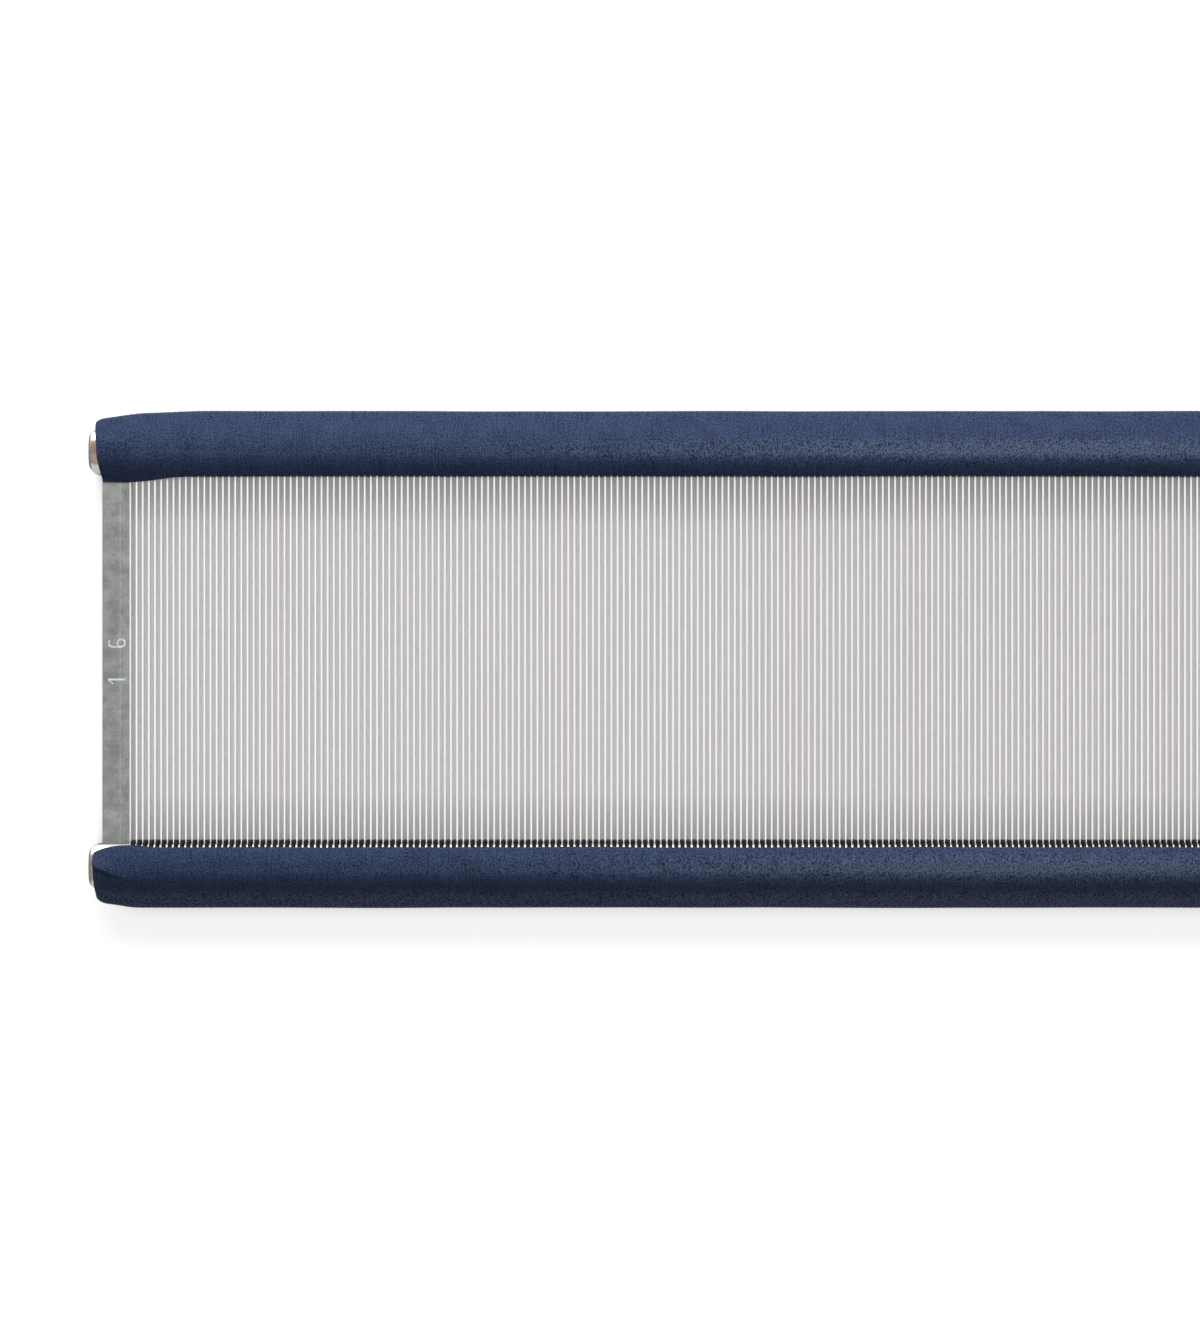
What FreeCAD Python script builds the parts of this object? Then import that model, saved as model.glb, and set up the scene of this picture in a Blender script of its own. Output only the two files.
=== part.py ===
import FreeCAD, Part
import Sketcher
import math
import os

# A metal weaving reed, 16 dents to the inch, lying flat on a table
# Frame: X along the reed, Y along the dents, Z up through its thickness
# Origin: middle of the reed, on the table that its taped rails rest on
# Each rail, from inside out: dents and end bars, a half round rib on the front
# and on the back, the binding wire wound round both ribs, and the cloth tape

document = FreeCAD.newDocument("weaving_reed")
Vector = FreeCAD.Vector

# Driving dimensions, in millimetres unless the name says otherwise
SIZES = [
    ("dent_pitch", 1.5875),
    ("dent_thickness", 0.5),
    ("dent_depth", 3.0),
    ("dent_length", 124.8),
    ("dent_edge_radius", 0.16),
    ("dents_per_group", 16),
    ("dent_groups", 16),
    ("bar_width", 7.5),
    ("bar_end_setback", 1.8),
    ("bar_edge_radius", 0.3),
    ("scribe_line_offset", 0.85),
    ("scribe_line_width", 0.25),
    ("scribe_line_depth", 0.1),
    ("digit_height", 4.7),
    ("digit_width", 2.4),
    ("digit_stroke", 0.5),
    ("digit_depth", 0.25),
    ("digit_spacing", 9.4),
    ("digit_centre_offset", 0.5),
    ("rail_inset", 9.0),
    ("rib_width", 11.8),
    ("rib_side_height", 0.36),
    ("rib_crown_radius", 8.0),
    ("rib_shoulder_radius", 0.6),
    ("rib_overhang", 3.1),
    ("rib_end_radius", 3.0),
    ("rib_end_spare", 0.4),
    ("rib_edge_radius", 0.5),
    ("wire_side_clearance", 0.02),
    ("wire_clearance", 0.06),
    ("tape_thickness", 0.35),
    ("tape_clearance", 0.08),
    ("tape_flat_depth", 0.1),
    ("tape_lap_top", 6.45),
    ("tape_lap_bottom", 5.3),
    ("tape_nose_margin", 0.05),
    ("tape_nose_clearance", 0.1),
    ("tape_nose_reach", 0.25),
    ("tape_setback", 1.5),
]

sheet = document.addObject("Spreadsheet::Sheet", "Sizes")
for row, (name, value) in enumerate(SIZES, start=1):
    sheet.set(f"A{row}", name)
    sheet.set(f"B{row}", str(value))
    sheet.setAlias(f"B{row}", name)
document.recompute()


def size(name):
    """A driving dimension, as the sheet holds it."""
    return float(sheet.get(name))


# Lengths that several pieces share, as expressions on the sheet
GAP = "(Sizes.dent_pitch - Sizes.dent_thickness)"
GROUP_LENGTH = "(Sizes.dents_per_group * Sizes.dent_pitch)"
INSIDE_BARS = f"(Sizes.dent_groups * {GROUP_LENGTH} + {GAP})"
BAR_LENGTH = "(Sizes.dent_length - 2 * Sizes.bar_end_setback)"
RAIL_PLACE = "(Sizes.dent_length / 2 - Sizes.rail_inset)"
RIB_LENGTH = f"({INSIDE_BARS} + 2 * Sizes.bar_width + 2 * Sizes.rib_overhang)"
RIB_HEIGHT = (
    "(Sizes.rib_side_height + Sizes.rib_crown_radius"
    " - sqrt((Sizes.rib_crown_radius - Sizes.rib_shoulder_radius)^2"
    " - (Sizes.rib_width / 2 - Sizes.rib_shoulder_radius)^2))"
)
WIRE_DIAMETER = f"({GAP} - 2 * Sizes.wire_side_clearance)"
MID_HEIGHT = (
    f"(Sizes.dent_depth / 2 + {RIB_HEIGHT} + Sizes.wire_clearance"
    f" + {WIRE_DIAMETER} + Sizes.tape_clearance + Sizes.tape_thickness"
    " - Sizes.tape_flat_depth)"
)

# The same lengths as numbers, for the pieces that follow a computed path
gap = size("dent_pitch") - size("dent_thickness")
dent_count = int(size("dents_per_group") * size("dent_groups"))
inside_bars = dent_count * size("dent_pitch") + gap
rib_length = inside_bars + 2 * size("bar_width") + 2 * size("rib_overhang")
bar_length = size("dent_length") - 2 * size("bar_end_setback")
wire_diameter = gap - 2 * size("wire_side_clearance")
half_dent_depth = size("dent_depth") / 2
half_rib_width = size("rib_width") / 2
rail_place = size("dent_length") / 2 - size("rail_inset")

# The rib's round face, from its rail's centre line and the reed's middle plane
shoulder_offset = half_rib_width - size("rib_shoulder_radius")
shoulder_height = half_dent_depth + size("rib_side_height")
crown_to_shoulder = size("rib_crown_radius") - size("rib_shoulder_radius")
shoulder_angle = math.asin(shoulder_offset / crown_to_shoulder)
crown_height = shoulder_height - crown_to_shoulder * math.cos(shoulder_angle)
rib_height = crown_height + size("rib_crown_radius") - half_dent_depth

RAIL_SIDES = {"top": 1, "bottom": -1}
FACE_SIDES = {"front": 1, "back": -1}
BAR_SIDES = {"left": -1, "right": 1}
CORNER_SIDES = [(-1, -1), (1, -1), (1, 1), (-1, 1)]

pieces = []


def keep(feature, label):
    """Names a finished piece and lists it for writing."""
    feature.Label = label
    pieces.append(feature)


def new_sketch(body, role, name):
    """An empty sketch on one of the body's origin planes."""
    sketch = body.newObject("Sketcher::SketchObject", name)
    plane = next(f for f in body.Origin.OriginFeatures if f.Role == role)
    sketch.AttachmentSupport = [(plane, "")]
    sketch.MapMode = "FlatFace"
    return sketch


def constrain(sketch, kind, *elements):
    sketch.addConstraint(Sketcher.Constraint(kind, *elements))


def dimension(sketch, name, expression, value, kind, *elements):
    """A sketch dimension that is tied to the sheet."""
    added = sketch.addConstraint(Sketcher.Constraint(kind, *elements, value))
    sketch.renameConstraint(added, name)
    sketch.setExpression(f"Constraints.{name}", expression)


def arc(centre_x, centre_y, radius, start_degrees, end_degrees):
    """A counterclockwise sketch arc."""
    circle = Part.Circle(Vector(centre_x, centre_y, 0), Vector(0, 0, 1), radius)
    start = math.radians(start_degrees)
    end = math.radians(end_degrees)
    return Part.ArcOfCircle(circle, start, end)


def line(start, end):
    return Part.LineSegment(Vector(*start, 0), Vector(*end, 0))


def closed_lines(points):
    return [line(here, there) for here, there in zip(points, points[1:] + points[:1])]


def rounded_rectangle(sketch, width, height, corner_name):
    """A rounded rectangle about the sketch's origin. Its width and height are pairs of
    an expression and its value."""
    x = width[1] / 2
    y = height[1] / 2
    corner = size(corner_name)
    sides = [
        line((corner - x, -y), (x - corner, -y)),
        line((x, corner - y), (x, y - corner)),
        line((x - corner, y), (corner - x, y)),
        line((-x, y - corner), (-x, corner - y)),
    ]
    corners = [
        arc(x - corner, corner - y, corner, 270, 360),
        arc(x - corner, y - corner, corner, 0, 90),
        arc(corner - x, y - corner, corner, 90, 180),
        arc(corner - x, corner - y, corner, 180, 270),
    ]
    for side, round_corner in zip(sides, corners):
        sketch.addGeometry(side, False)
        sketch.addGeometry(round_corner, False)
    for side in range(0, 8, 2):
        constrain(sketch, "Tangent", side, 2, side + 1, 1)
        constrain(sketch, "Tangent", side + 1, 2, (side + 2) % 8, 1)
    for side, direction in enumerate(["Horizontal", "Vertical"] * 2):
        constrain(sketch, direction, 2 * side)
    for other_corner in (3, 5, 7):
        constrain(sketch, "Equal", 1, other_corner)
    half_width = f"({width[0]}) / 2"
    half_height = f"({height[0]}) / 2"
    dimension(sketch, "corner", f"Sizes.{corner_name}", corner, "Radius", 1)
    dimension(sketch, "right", half_width, x, "DistanceX", -1, 1, 2, 1)
    dimension(sketch, "left", half_width, x, "DistanceX", 6, 1, -1, 1)
    dimension(sketch, "above", half_height, y, "DistanceY", -1, 1, 4, 1)
    dimension(sketch, "below", half_height, y, "DistanceY", 0, 1, -1, 1)


def cell(name):
    """A driving dimension as a pair of its expression and its value."""
    return f"Sizes.{name}", size(name)


def pad(body, sketch, name, length):
    """A pad to both sides of its sketch."""
    feature = body.newObject("PartDesign::Pad", name)
    feature.Profile = sketch
    feature.SideType = "Symmetric"
    feature.setExpression("Length", length)
    return feature


def pocket(body, sketch, name, depth):
    """A pocket down from its sketch."""
    feature = body.newObject("PartDesign::Pocket", name)
    feature.Profile = sketch
    feature.setExpression("Length", depth)


def set_place(feature, x, y, z):
    """Ties a piece's place in the reed to the sheet."""
    feature.setExpression("Placement.Base.x", x)
    feature.setExpression("Placement.Base.y", y)
    feature.setExpression("Placement.Base.z", z)


def make_dent_group(index):
    """One inch of dents: flat steel strips on edge, a pitch apart."""
    number = f"{index + 1:02d}"
    body = document.addObject("PartDesign::Body", "Dents" + number)
    body.AllowCompound = True
    section = new_sketch(body, "XZ_Plane", "DentSection" + number)
    rounded_rectangle(section, cell("dent_thickness"), cell("dent_depth"), "dent_edge_radius")
    strip = pad(body, section, "Dent" + number, "Sizes.dent_length")
    strips = body.newObject("PartDesign::LinearPattern", "DentRow" + number)
    strips.Originals = [strip]
    strips.Direction = (section, ["H_Axis"])
    strips.setExpression("Length", "(Sizes.dents_per_group - 1) * Sizes.dent_pitch")
    strips.setExpression("Occurrences", "Sizes.dents_per_group")
    body.Tip = strips
    first = f"{GAP} + Sizes.dent_thickness / 2 - {INSIDE_BARS} / 2"
    set_place(body, f"{first} + {index} * {GROUP_LENGTH}", "0 mm", MID_HEIGHT)
    keep(body, "dents_inch_" + number)


def face_sketch(body, name, turn):
    """An empty sketch on the front face of an end bar, turned about its normal."""
    sketch = new_sketch(body, "XY_Plane", name)
    spin = FreeCAD.Rotation(Vector(0, 0, 1), turn)
    sketch.AttachmentOffset = FreeCAD.Placement(Vector(0, 0, half_dent_depth), spin)
    sketch.setExpression("AttachmentOffset.Base.z", "Sizes.dent_depth / 2")
    return sketch


def digit_one(middle):
    """The outline of a stamped 1: an upright stroke and a slanting flag."""
    half = size("digit_stroke") / 2
    top = size("digit_height") / 2
    reach = size("digit_width") / 2
    outline = [
        (middle - half, -top),
        (middle + half, -top),
        (middle + half, top),
        (middle - half, top),
        (middle - reach, top - reach),
        (middle - reach, top - reach - 2 * half),
        (middle - half, top - 3 * half),
    ]
    return closed_lines(outline)


def digit_six(middle):
    """The outline of a stamped 6: a round bowl, and a stem that hooks over it."""
    outer = size("digit_width") / 2
    inner = outer - size("digit_stroke")
    hook = size("digit_height") / 2 - outer
    bowl = -hook
    stem_angle = math.degrees(math.acos(-inner / outer))
    stem_foot = bowl + math.sqrt(outer**2 - inner**2)
    hook_angle = 35  # degrees above level, where the hook over the bowl stops
    across = math.cos(math.radians(hook_angle))
    up = math.sin(math.radians(hook_angle))
    hook_inside = (middle + inner * across, hook + inner * up)
    hook_outside = (middle + outer * across, hook + outer * up)
    return [
        arc(middle, bowl, outer, -180, stem_angle),
        line((middle - inner, stem_foot), (middle - inner, hook)),
        arc(middle, hook, inner, hook_angle, 180),
        line(hook_inside, hook_outside),
        arc(middle, hook, outer, hook_angle, 180),
        line((middle - outer, hook), (middle - outer, bowl)),
        Part.Circle(Vector(middle, bowl, 0), Vector(0, 0, 1), inner),
    ]


def make_end_bar(label):
    """A flat steel bar that closes one end of the row, with a line scribed down it.
    The left one has the dents per inch stamped across it."""
    side = BAR_SIDES[label]
    body = document.addObject("PartDesign::Body", "Bar" + label)
    section = new_sketch(body, "XZ_Plane", "BarSection" + label)
    rounded_rectangle(section, cell("bar_width"), cell("dent_depth"), "bar_edge_radius")
    pad(body, section, "BarBlank" + label, BAR_LENGTH)

    scribe = face_sketch(body, "Scribe" + label, 0)
    half_line = size("scribe_line_width") / 2
    end = rail_place - half_rib_width
    corners = [(x * half_line, y * end) for x, y in CORNER_SIDES]
    for edge in closed_lines(corners):
        scribe.addGeometry(edge, False)
    toward_dents = f"{-side} * Sizes.scribe_line_offset"
    scribe.setExpression("AttachmentOffset.Base.x", toward_dents)
    pocket(body, scribe, "ScribeLine" + label, "Sizes.scribe_line_depth")

    if label == "left":
        digits = face_sketch(body, "Digits", 90)
        half_spacing = size("digit_spacing") / 2
        for edge in digit_one(-half_spacing) + digit_six(half_spacing):
            digits.addGeometry(edge, False)
        digits.setExpression("AttachmentOffset.Base.y", "-Sizes.digit_centre_offset")
        pocket(body, digits, "StampedDigits", "Sizes.digit_depth")

    set_place(body, f"{side} * ({INSIDE_BARS} + Sizes.bar_width) / 2", "0 mm", MID_HEIGHT)
    keep(body, "end_bar_" + label)


def draw_rib_section(section):
    """The rib's half round outline: a flat side on the dents, two low lands at its edges,
    and a crown with rounded shoulders."""
    lean = math.degrees(shoulder_angle)
    crown = size("rib_crown_radius")
    shoulder = size("rib_shoulder_radius")
    land = size("rib_side_height")
    outline = [
        arc(-shoulder_offset, land, shoulder, 90 + lean, 180),
        arc(0, rib_height - crown, crown, 90 - lean, 90 + lean),
        arc(shoulder_offset, land, shoulder, 0, 90 - lean),
        line((half_rib_width, land), (half_rib_width, 0)),
        line((half_rib_width, 0), (-half_rib_width, 0)),
        line((-half_rib_width, 0), (-half_rib_width, land)),
    ]
    for edge in outline:
        section.addGeometry(edge, False)
    for joint in [(0, 1, 1, 2), (1, 1, 2, 2), (2, 1, 3, 1), (5, 2, 0, 2)]:
        constrain(section, "Tangent", *joint)
    constrain(section, "Coincident", 3, 2, 4, 1)
    constrain(section, "Coincident", 4, 2, 5, 1)
    constrain(section, "Vertical", 3)
    constrain(section, "Vertical", 5)
    constrain(section, "Horizontal", 4)
    constrain(section, "Equal", 0, 2)
    constrain(section, "PointOnObject", 1, 3, -2)
    constrain(section, "PointOnObject", 4, 1, -1)
    below = f"Sizes.rib_crown_radius - {RIB_HEIGHT}"
    half = "Sizes.rib_width / 2"
    dimension(section, "shoulder", "Sizes.rib_shoulder_radius", shoulder, "Radius", 0)
    dimension(section, "crown", "Sizes.rib_crown_radius", crown, "Radius", 1)
    dimension(section, "centre", below, crown - rib_height, "DistanceY", 1, 3, -1, 1)
    dimension(section, "right", half, half_rib_width, "DistanceX", -1, 1, 3, 2)
    dimension(section, "left", half, half_rib_width, "DistanceX", 5, 1, -1, 1)


def end_rims(shape):
    """The edges that go round the end faces of a rib on its round side."""
    slack = 0.001
    rims = []
    for number, edge in enumerate(shape.Edges, start=1):
        box = edge.BoundBox
        is_upright = box.XLength < slack and box.YLength < slack
        is_at_end = box.XLength < size("rib_end_radius") + slack
        if is_at_end and box.ZMin > slack and not is_upright:
            rims.append(f"Edge{number}")
    return rims


def make_rib(rail, face):
    """A half round steel rod. Its flat side grips the dents and its round side carries the
    winding. Its ends stand out past the end bars, with their corners rounded and their
    rims eased."""
    name = rail + face
    rib = document.addObject("PartDesign::Body", "Rib" + name)
    section = new_sketch(rib, "YZ_Plane", "RibSection" + name)
    draw_rib_section(section)
    pad(rib, section, "RibDrawn" + name, RIB_LENGTH)

    # The ends are cut to an outline a little wider than the rib, so that its round corners
    # meet the rib's sides at an angle
    outside = new_sketch(rib, "XY_Plane", "RibOutside" + name)
    width = "Sizes.rib_width + Sizes.rib_end_spare", size("rib_width") + size("rib_end_spare")
    rounded_rectangle(outside, (RIB_LENGTH, rib_length), width, "rib_end_radius")
    around = [(x * rib_length, y * size("rib_width")) for x, y in CORNER_SIDES]
    for edge in closed_lines(around):
        outside.addGeometry(edge, False)
    rounded = rib.newObject("PartDesign::Pocket", "RibCorners" + name)
    rounded.Profile = outside
    rounded.SideType = "Symmetric"
    rounded.setExpression("Length", f"4 * {RIB_HEIGHT}")
    document.recompute()

    eased = rib.newObject("PartDesign::Fillet", "RibRims" + name)
    eased.Base = (rounded, end_rims(rounded.Shape))
    eased.setExpression("Radius", "Sizes.rib_edge_radius")
    turn = 0 if face == "front" else 180
    rib.Placement = FreeCAD.Placement(Vector(), FreeCAD.Rotation(Vector(1, 0, 0), turn))
    y = f"{RAIL_SIDES[rail]} * {RAIL_PLACE}"
    z = f"{MID_HEIGHT} + {FACE_SIDES[face]} * Sizes.dent_depth / 2"
    set_place(rib, "0 mm", y, z)
    keep(rib, f"rib_{rail}_{face}")


def place_on_rail(feature, rail):
    """Puts a piece that is drawn about its rail's centre line, outward along +Y."""
    turn = 0 if rail == "top" else 180
    feature.Placement = FreeCAD.Placement(Vector(), FreeCAD.Rotation(Vector(0, 0, 1), turn))
    y = f"{RAIL_SIDES[rail]} * {RAIL_PLACE}"
    set_place(feature, "0 mm", y, MID_HEIGHT)


def on_circle(x, middle, height, radius, angle):
    """A point of a circle in the rail's section at x. The angle is from straight up."""
    return Vector(x, middle + radius * math.sin(angle), height + radius * math.cos(angle))


def section_arc(x, middle, height, radius, start, end):
    """An arc in the rail's section at x, between two angles from straight up."""
    angles = (start, (start + end) / 2, end)
    points = [on_circle(x, middle, height, radius, angle) for angle in angles]
    return Part.Arc(*points).toShape()


def biarc(start, start_direction, end, end_direction):
    """Two arcs that join two points, and leave and meet them in the given directions."""
    across = end - start
    turn = 2 * (1 - start_direction.dot(end_direction))
    along = across.dot(start_direction + end_direction)
    reach = (math.sqrt(along**2 + turn * across.dot(across)) - along) / turn
    near_start = start + start_direction * reach
    near_end = end - end_direction * reach
    meeting = (near_start + near_end) * 0.5
    arcs = []
    for first, corner, last in [(start, near_start, meeting), (meeting, near_end, end)]:
        weight = (last - first).Length / (2 * (corner - first).Length)
        middle = (first + last + corner * (2 * weight)) * (0.5 / (1 + weight))
        arcs.append(Part.Arc(first, middle, last).toShape())
    return arcs


def wire_turn(x, is_last):
    """One turn of the binding wire: up between two dents outside the ribs, over the front
    rib, down between the same dents inside the ribs, and behind the back rib to the next
    gap. The last turn ends inside the ribs."""
    standoff = size("wire_clearance") + wire_diameter / 2
    crown = size("rib_crown_radius") + standoff
    bend = size("rib_shoulder_radius") + standoff
    run = half_rib_width + standoff
    quarter = math.pi / 2
    lean = shoulder_angle
    offset = shoulder_offset
    height = shoulder_height
    edges = [
        Part.makeLine(Vector(x, run, -height), Vector(x, run, height)),
        section_arc(x, offset, height, bend, quarter, lean),
        section_arc(x, 0, crown_height, crown, lean, -lean),
        section_arc(x, -offset, height, bend, -lean, -quarter),
        Part.makeLine(Vector(x, -run, height), Vector(x, -run, -height)),
    ]
    if is_last:
        return edges
    following = x + size("dent_pitch")
    leave = on_circle(x, -offset, -height, bend, lean - math.pi)
    arrive = on_circle(following, offset, -height, bend, math.pi - lean)
    down = Vector(0, math.cos(lean), -math.sin(lean))
    up = Vector(0, math.cos(lean), math.sin(lean))
    edges.append(section_arc(x, -offset, -height, bend, -quarter, lean - math.pi))
    edges += biarc(leave, down, arrive, up)
    edges.append(section_arc(following, offset, -height, bend, math.pi - lean, quarter))
    return edges


def least_gap(turn):
    """The least space between a turn and the next, measured on points of each edge."""
    pitch = Vector(size("dent_pitch"), 0, 0)
    points_per_edge = 30
    distances = []
    for edge in turn:
        points = edge.discretize(points_per_edge)
        distances += [(a - b - pitch).Length for a in points for b in points]
    return min(distances) - wire_diameter


def make_binding_wire(rail):
    """The tarred wire wound round both ribs of a rail. The turn in each gap sets the
    space between the dents."""
    first = (gap - inside_bars) / 2
    edges = []
    for turn in range(dent_count + 1):
        edges += wire_turn(first + turn * size("dent_pitch"), turn == dent_count)
    path = Part.Wire(edges)
    radius = wire_diameter / 2
    start = edges[0].Vertexes[0].Point
    circle = Part.Wire([Part.Circle(start, Vector(0, 0, 1), radius).toShape()])
    tube = path.makePipeShell([circle], True, False)
    section = math.pi * radius**2
    print(f"{rail} wire: {path.Length:.0f} mm long, {dent_count + 1} turns,")
    print(f"  volume {tube.Volume:.1f}, length times section {path.Length * section:.1f},")
    print(f"  least gap between turns {least_gap(wire_turn(first, False)):.3f} mm")
    wire = document.addObject("Part::Feature", "Wire" + rail)
    wire.Shape = tube
    place_on_rail(wire, rail)
    keep(wire, "binding_wire_" + rail)


def tape_face(x, crown, nose, nose_middle, edge, flank, worn):
    """One face of the tape in the section at x, from its front edge to its back edge, as
    edges: a lap, a flank, the nose, a flank and a lap. The outer face also has a worn flat
    on each lap, to both sides of the crown by the angle that worn gives."""
    half_turn = math.pi

    def on_crown(angle):
        height = crown_height if abs(angle) < half_turn / 2 else -crown_height
        return on_circle(x, 0, height, crown, angle)

    def front_lap(start, end):
        return section_arc(x, 0, crown_height, crown, start, end)

    def back_lap(start, end):
        return section_arc(x, 0, -crown_height, crown, half_turn - start, half_turn - end)

    if worn:
        front_flat = Part.makeLine(on_crown(-worn), on_crown(worn))
        back_flat = Part.makeLine(on_crown(half_turn - worn), on_crown(half_turn + worn))
        front = [front_lap(edge, -worn), front_flat, front_lap(worn, flank)]
        back = [back_lap(flank, worn), back_flat, back_lap(-worn, edge)]
    else:
        front = [front_lap(edge, flank)]
        back = [back_lap(flank, edge)]
    front_nose = on_circle(x, nose_middle, 0, nose, flank)
    back_nose = on_circle(x, nose_middle, 0, nose, half_turn - flank)
    return [
        *front,
        Part.makeLine(on_crown(flank), front_nose),
        section_arc(x, nose_middle, 0, nose, flank, half_turn - flank),
        Part.makeLine(back_nose, on_crown(half_turn - flank)),
        *back,
    ]


def tape_section(x, crown, nose_middle, lap):
    """The closed section of the tape at x, over a round face of the crown's radius and
    round a nose at the dents' ends."""
    nose = half_dent_depth + size("tape_nose_margin")
    apart = math.hypot(nose_middle, crown_height)
    flank = math.atan2(nose_middle, -crown_height) - math.acos((crown - nose) / apart)
    edge = -math.asin(lap / crown)
    thickness = size("tape_thickness")
    outer_crown = crown + thickness
    worn = math.acos(1 - size("tape_flat_depth") / outer_crown)
    outside = tape_face(x, outer_crown, nose + thickness, nose_middle, edge, flank, worn)
    inside = tape_face(x, crown, nose, nose_middle, edge, flank, 0)
    back_cut = Part.makeLine(outside[-1].Vertexes[-1].Point, inside[-1].Vertexes[-1].Point)
    front_cut = Part.makeLine(inside[0].Vertexes[0].Point, outside[0].Vertexes[0].Point)
    return Part.Wire([*outside, back_cut, *reversed(inside), front_cut])


def nose_past_ribs(crown):
    """How far outside the rail's centre line the nose's middle lies where the tape has
    nothing but the ribs to go round. It is just out of reach of the crown's circle."""
    nose = half_dent_depth + size("tape_nose_margin")
    touching = math.sqrt((crown - nose) ** 2 - crown_height**2)
    return touching + size("tape_nose_reach")


def nose_past_strip(length, crown):
    """The same where a strip of this length ends inside the nose, which clears it."""
    nose = half_dent_depth + size("tape_nose_margin")
    beside = math.sqrt(nose**2 - half_dent_depth**2)
    past_strip = length / 2 - rail_place + size("tape_nose_clearance") - beside
    return max(past_strip, nose_past_ribs(crown))


def make_edge_tape(rail):
    """Book-cloth tape, folded lengthwise round a rail and glued down. It stands on the
    winding between the end bars, and comes down on the bare ribs beyond it."""
    lap = size("tape_lap_" + rail)
    bare = size("rib_crown_radius") + size("tape_clearance")
    wound = bare + size("wire_clearance") + wire_diameter
    half = rib_length / 2
    stations = [
        (half - size("tape_setback"), bare, nose_past_ribs(bare)),
        (half - size("rib_overhang"), bare, nose_past_strip(bar_length, bare)),
        (inside_bars / 2, wound, nose_past_strip(size("dent_length"), wound)),
    ]
    mirrored = [(-x, crown, nose_middle) for x, crown, nose_middle in stations]
    sections = [tape_section(*station, lap) for station in mirrored + stations[::-1]]
    tape = document.addObject("Part::Feature", "Tape" + rail)
    tape.Shape = Part.makeLoft(sections, True, True)
    place_on_rail(tape, rail)
    keep(tape, "edge_tape_" + rail)


for index in range(int(size("dent_groups"))):
    make_dent_group(index)
for label in BAR_SIDES:
    make_end_bar(label)
for rail in RAIL_SIDES:
    for face in FACE_SIDES:
        make_rib(rail, face)
    make_binding_wire(rail)
    make_edge_tape(rail)
document.recompute()

for item in document.Objects:
    if "Invalid" in item.State or "Error" in item.State:
        raise RuntimeError(f"{item.Label} failed: {item.State}")
os.makedirs("parts", exist_ok=True)
for piece in pieces:
    if piece.Shape.isNull() or not piece.Shape.isValid():
        raise RuntimeError(f"{piece.Label} has no valid shape")
for piece in pieces:
    piece.Shape.exportStep(f"parts/{piece.Label}.step")
    box = piece.Shape.BoundBox
    print(
        f"{piece.Label}: {len(piece.Shape.Solids)} solids, {piece.Shape.Volume:.1f} mm3,"
        f" X {box.XMin:.2f} to {box.XMax:.2f}, Y {box.YMin:.2f} to {box.YMax:.2f},"
        f" Z {box.ZMin:.3f} to {box.ZMax:.3f}"
    )
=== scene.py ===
import math
import bpy
import numpy as np
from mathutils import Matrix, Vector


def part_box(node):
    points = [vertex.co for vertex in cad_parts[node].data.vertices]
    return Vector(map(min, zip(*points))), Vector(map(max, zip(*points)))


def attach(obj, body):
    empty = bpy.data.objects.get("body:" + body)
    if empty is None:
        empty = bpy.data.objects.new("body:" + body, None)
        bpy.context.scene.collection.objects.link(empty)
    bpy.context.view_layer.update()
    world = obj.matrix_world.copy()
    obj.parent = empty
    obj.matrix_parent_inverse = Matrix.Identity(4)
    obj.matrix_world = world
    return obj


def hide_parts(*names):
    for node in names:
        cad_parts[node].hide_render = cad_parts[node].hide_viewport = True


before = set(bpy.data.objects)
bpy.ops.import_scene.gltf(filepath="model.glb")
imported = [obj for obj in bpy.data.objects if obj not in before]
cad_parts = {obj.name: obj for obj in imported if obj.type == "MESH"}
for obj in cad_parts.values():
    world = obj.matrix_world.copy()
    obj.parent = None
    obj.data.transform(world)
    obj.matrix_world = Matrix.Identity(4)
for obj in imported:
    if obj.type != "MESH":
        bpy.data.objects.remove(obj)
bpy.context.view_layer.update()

# Dents
# 256 flat strips of polished steel, set on edge like the teeth of a comb. Each was rolled
# with rounded edges, and polishing left it fine lines down its length and a shade of its own.
dent_pitch = 0.0015875
dent_mauve_steel = (0.995, 0.950, 0.962, 1)
dent_green_steel = (0.965, 0.968, 0.950, 1)
dent_shade_range = (0.98, 1.0)
dent_roughness_range = (0.22, 0.34)
dent_line_width = 0.00006
dent_line_depth = 0.0000007
dent_line_length = 0.02
dent_line_shade = (0.97, 1.02)
dent_cloud = (0.004, 0.03, 0.004)
dent_cloud_shade = (0.98, 1.01)
noise_swing = (0.3, 0.7)


def new_finish(name):
    """An empty finish: the material, its node tree and its shader."""
    finish = bpy.data.materials.new(name)
    finish.use_nodes = True
    return finish, finish.node_tree, finish.node_tree.nodes["Principled BSDF"]


def texture(tree, kind, sockets, **settings):
    """One node of a finish. A socket is set to a value, or joined to another node's output."""
    node = tree.nodes.new("ShaderNode" + kind)
    for name, value in settings.items():
        setattr(node, name, value)
    for name, value in sockets.items():
        if isinstance(value, bpy.types.NodeSocket):
            tree.links.new(value, node.inputs[name])
        else:
            node.inputs[name].default_value = value
    return node


def place(tree):
    """Where a point of the reed is, in metres."""
    return texture(tree, "TexCoord", {}).outputs["Object"]


def stretched(tree, where, sizes):
    """A place measured in steps of these sizes along each axis."""
    steps = [1 / size for size in sizes]
    return texture(tree, "VectorMath", {0: where, 1: steps}, operation="MULTIPLY").outputs[0]


def noise(tree, where, sizes, detail=2.0, roughness=0.5):
    """Cloudy variation whose grains have these sizes along each axis."""
    sockets = {"Vector": stretched(tree, where, sizes), "Scale": 1.0, "Detail": detail,
               "Roughness": roughness}
    return texture(tree, "TexNoise", sockets).outputs["Fac"]


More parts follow.
